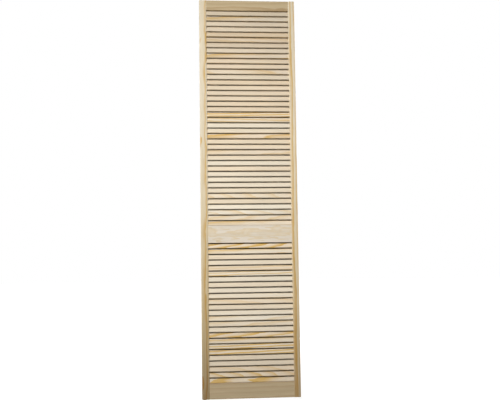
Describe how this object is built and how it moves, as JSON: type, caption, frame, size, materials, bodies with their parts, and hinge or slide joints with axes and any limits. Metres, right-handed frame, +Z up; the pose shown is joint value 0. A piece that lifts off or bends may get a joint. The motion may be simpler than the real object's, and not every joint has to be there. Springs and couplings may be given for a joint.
{
  "type": "folding closet door leaf",
  "caption": "Open-louvre pine leaf of a folding closet door, with fixed slanted slats, three rails, sprung top pivot, bottom pivot and folded butt hinges.",
  "frame": {"origin": "middle of the leaf's bottom edge, halfway through its thickness", "axes": "+Z up the leaf, +X across it from the pivot stile to the hinge stile, +Y towards its back; the room side faces -Y"},
  "size_m": [0.4945, 0.0351, 2.0522],
  "materials": {
    "pine_stile": "raw planed softwood, matt",
    "pine_rail": "raw planed softwood, matt",
    "pine_slat": "raw planed softwood, matt",
    "beech_dowel": "raw hardwood, matt",
    "white_nylon": "moulded nylon, satin",
    "spring_steel": "drawn wire",
    "zinc_pivot_steel": "bright zinc plated",
    "zinc_hinge_steel": "bright zinc plated",
    "zinc_screw_steel": "bright zinc plated"
  },
  "bodies": {
    "leaf": {"bottom_hinge_fixed_leaf": "zinc_hinge_steel", "bottom_hinge_pin": "zinc_hinge_steel", "bottom_pivot_sleeve": "white_nylon", "bottom_rail": "pine_rail", "bottom_rail_dowels": "beech_dowel", "hinge_screws": "zinc_screw_steel", "left_stile": "pine_stile", "lower_slats_01_02": "pine_slat", "lower_slats_03_04": "pine_slat", "lower_slats_05_06": "pine_slat", "lower_slats_07_08": "pine_slat", "lower_slats_09_10": "pine_slat", "lower_slats_11_12": "pine_slat", "lower_slats_13_14": "pine_slat", "lower_slats_15_16": "pine_slat", "lower_slats_17_18": "pine_slat", "lower_slats_19_20": "pine_slat", "lower_slats_21_22": "pine_slat", "lower_slats_23_24": "pine_slat", "lower_slats_25": "pine_slat", "middle_hinge_fixed_leaf": "zinc_hinge_steel", "middle_hinge_pin": "zinc_hinge_steel", "middle_rail": "pine_rail", "middle_rail_dowels": "beech_dowel", "right_stile": "pine_stile", "top_hinge_fixed_leaf": "zinc_hinge_steel", "top_hinge_pin": "zinc_hinge_steel", "top_pivot_sleeve": "white_nylon", "top_rail": "pine_rail", "top_rail_dowels": "beech_dowel", "upper_slats_01_02": "pine_slat", "upper_slats_03_04": "pine_slat", "upper_slats_05_06": "pine_slat", "upper_slats_07_08": "pine_slat", "upper_slats_09_10": "pine_slat", "upper_slats_11_12": "pine_slat", "upper_slats_13_14": "pine_slat", "upper_slats_15_16": "pine_slat", "upper_slats_17_18": "pine_slat", "upper_slats_19_20": "pine_slat", "upper_slats_21_22": "pine_slat", "upper_slats_23_24": "pine_slat", "upper_slats_25_26": "pine_slat", "upper_slats_27_28": "pine_slat", "upper_slats_29_30": "pine_slat", "upper_slats_31_32": "pine_slat", "upper_slats_33_34": "pine_slat", "upper_slats_35_36": "pine_slat", "upper_slats_37_38": "pine_slat", "upper_slats_39_40": "pine_slat"},
    "bottom_pivot": {"bottom_pivot_pin": "zinc_pivot_steel", "bottom_pivot_nut": "zinc_pivot_steel"},
    "top_pivot_core": {"top_pivot_spring": "spring_steel"},
    "top_pivot_plunger": {"top_pivot_pin": "zinc_pivot_steel"},
    "top_hinge_swing": {"top_hinge_free_leaf": "zinc_hinge_steel"},
    "middle_hinge_swing": {"middle_hinge_free_leaf": "zinc_hinge_steel"},
    "bottom_hinge_swing": {"bottom_hinge_free_leaf": "zinc_hinge_steel"}
  },
  "joints": [
    {"name": "bottom_pivot_turn", "type": "hinge", "parent": "leaf", "child": "bottom_pivot", "pos_m": [-0.232, 0, 0], "axis": [0, 0, 1], "range_deg": [0, 90]},
    {"name": "top_pivot_turn", "type": "hinge", "parent": "leaf", "child": "top_pivot_core", "pos_m": [-0.232, 0, 2], "axis": [0, 0, 1], "range_deg": [0, 90]},
    {"name": "top_pivot_plunge", "type": "slide", "parent": "top_pivot_core", "child": "top_pivot_plunger", "axis": [0, 0, -1], "range_m": [0, 0.012], "stiffness_N_per_m": 400, "deforming": ["top_pivot_spring"]},
    {"name": "middle_hinge_fold", "type": "hinge", "parent": "leaf", "child": "middle_hinge_swing", "pos_m": [0.246, 0.01755, 1.0315], "axis": [0, 0, -1], "range_deg": [0, 180]},
    {"name": "top_hinge_fold", "type": "hinge", "parent": "leaf", "child": "top_hinge_swing", "pos_m": [0.246, 0.01755, 1.833], "axis": [0, 0, -1], "range_deg": [0, 180]},
    {"name": "bottom_hinge_fold", "type": "hinge", "parent": "leaf", "child": "bottom_hinge_swing", "pos_m": [0.246, 0.01755, 0.23], "axis": [0, 0, -1], "range_deg": [0, 180]}
  ],
  "couplings": [
    {"joint": "top_pivot_turn", "follows": "bottom_pivot_turn", "ratio": 1},
    {"joint": "top_hinge_fold", "follows": "middle_hinge_fold", "ratio": 1},
    {"joint": "bottom_hinge_fold", "follows": "middle_hinge_fold", "ratio": 1}
  ]
}
